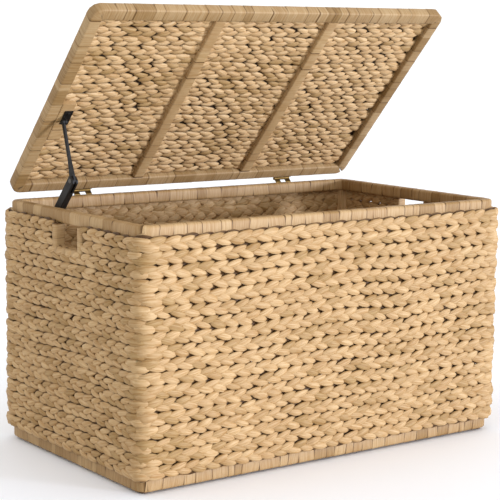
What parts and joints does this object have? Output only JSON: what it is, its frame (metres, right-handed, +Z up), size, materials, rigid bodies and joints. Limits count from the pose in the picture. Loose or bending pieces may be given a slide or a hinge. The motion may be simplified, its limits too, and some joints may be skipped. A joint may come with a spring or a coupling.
{
  "type": "storage chest ottoman",
  "caption": "Rectangular woven storage chest with a hinged, framed lid, a folding lid stay, hand holes in both ends and a wrapped rim.",
  "frame": {"origin": "on the floor under the middle of the chest", "axes": "+X along the chest towards its right end, +Y from the front towards the hinged back, +Z up"},
  "size_m": [0.858, 0.5069, 0.8521],
  "materials": {
    "wrapped_strip": "flat hyacinth strip wrapped over a frame, satin",
    "braid": "braided dried water hyacinth, satin",
    "inner_strip": "wrapped frame bar inside the weave",
    "bare_wood": "plain thin plywood",
    "foot_plastic": "moulded nail-on glide",
    "zinc_steel": "yellow zinc plated",
    "black_steel": "black powder coat",
    "black_plastic": "moulded nylon, satin",
    "rivet_steel": "bright rivet"
  },
  "bodies": {
    "chest": {"bottom_rail_front": "wrapped_strip", "bottom_rail_back": "wrapped_strip", "bottom_rail_left": "wrapped_strip", "bottom_rail_right": "wrapped_strip", "top_rail_front": "wrapped_strip", "top_rail_back": "wrapped_strip", "top_rail_left": "wrapped_strip", "top_rail_right": "wrapped_strip", "post_front_left": "inner_strip", "foot_front_left": "foot_plastic", "post_front_right": "inner_strip", "foot_front_right": "foot_plastic", "post_back_left": "inner_strip", "foot_back_left": "foot_plastic", "post_back_right": "inner_strip", "foot_back_right": "foot_plastic", "woven_wall_front": "braid", "woven_wall_back": "braid", "woven_wall_left": "braid", "woven_wall_right": "braid", "handle_trim_left": "wrapped_strip", "handle_trim_right": "wrapped_strip", "floor_board": "bare_wood", "hinge_leaf_chest_left": "zinc_steel", "hinge_pin_left": "zinc_steel", "hinge_screw_chest_left_a": "zinc_steel", "hinge_screw_chest_left_b": "zinc_steel", "hinge_leaf_chest_right": "zinc_steel", "hinge_pin_right": "zinc_steel", "hinge_screw_chest_right_a": "zinc_steel", "hinge_screw_chest_right_b": "zinc_steel", "stay_wall_block": "wrapped_strip", "stay_wall_plate": "black_steel", "stay_wall_pin": "rivet_steel", "stay_wall_screw_low": "black_steel", "stay_wall_screw_high": "black_steel"},
    "lid": {"lid_rail_front": "wrapped_strip", "lid_rail_back": "wrapped_strip", "lid_rail_left": "wrapped_strip", "lid_rail_right": "wrapped_strip", "lid_slat_left": "wrapped_strip", "lid_slat_right": "wrapped_strip", "lid_weave_left": "braid", "lid_weave_middle": "braid", "lid_weave_right": "braid", "hinge_leaf_lid_left": "zinc_steel", "hinge_screw_lid_left_a": "zinc_steel", "hinge_screw_lid_left_b": "zinc_steel", "hinge_leaf_lid_right": "zinc_steel", "hinge_screw_lid_right_a": "zinc_steel", "hinge_screw_lid_right_b": "zinc_steel", "stay_lid_pad": "wrapped_strip", "stay_lid_bracket": "black_steel", "stay_lid_pin": "rivet_steel", "stay_lid_screw_front": "black_steel", "stay_lid_screw_back": "black_steel"},
    "stay_housing": {"stay_housing": "black_plastic", "stay_elbow_rivet_left": "rivet_steel", "stay_elbow_rivet_right": "rivet_steel"},
    "stay_bar": {"stay_bar": "black_steel"}
  },
  "joints": [
    {"name": "lid_hinge", "type": "hinge", "parent": "chest", "child": "lid", "pos_m": [0, 0.251, 0.482], "axis": [-1, 0, 0], "range_deg": [-47.4, 12]},
    {"name": "stay_wall_pivot", "type": "hinge", "parent": "chest", "child": "stay_housing", "pos_m": [-0.383, 0.1644, 0.4018], "axis": [-1, 0, 0], "range_deg": [-64.5, 16.8]},
    {"name": "stay_lid_pivot", "type": "hinge", "parent": "lid", "child": "stay_bar", "pos_m": [-0.383, 0.08884, 0.63176], "axis": [-1, 0, 0], "range_deg": [-12.2, 46.5]}
  ],
  "couplings": [
    {"joint": "stay_wall_pivot", "follows": "lid_hinge", "ratio": 1.3473},
    {"joint": "stay_lid_pivot", "follows": "lid_hinge", "ratio": -0.97}
  ]
}
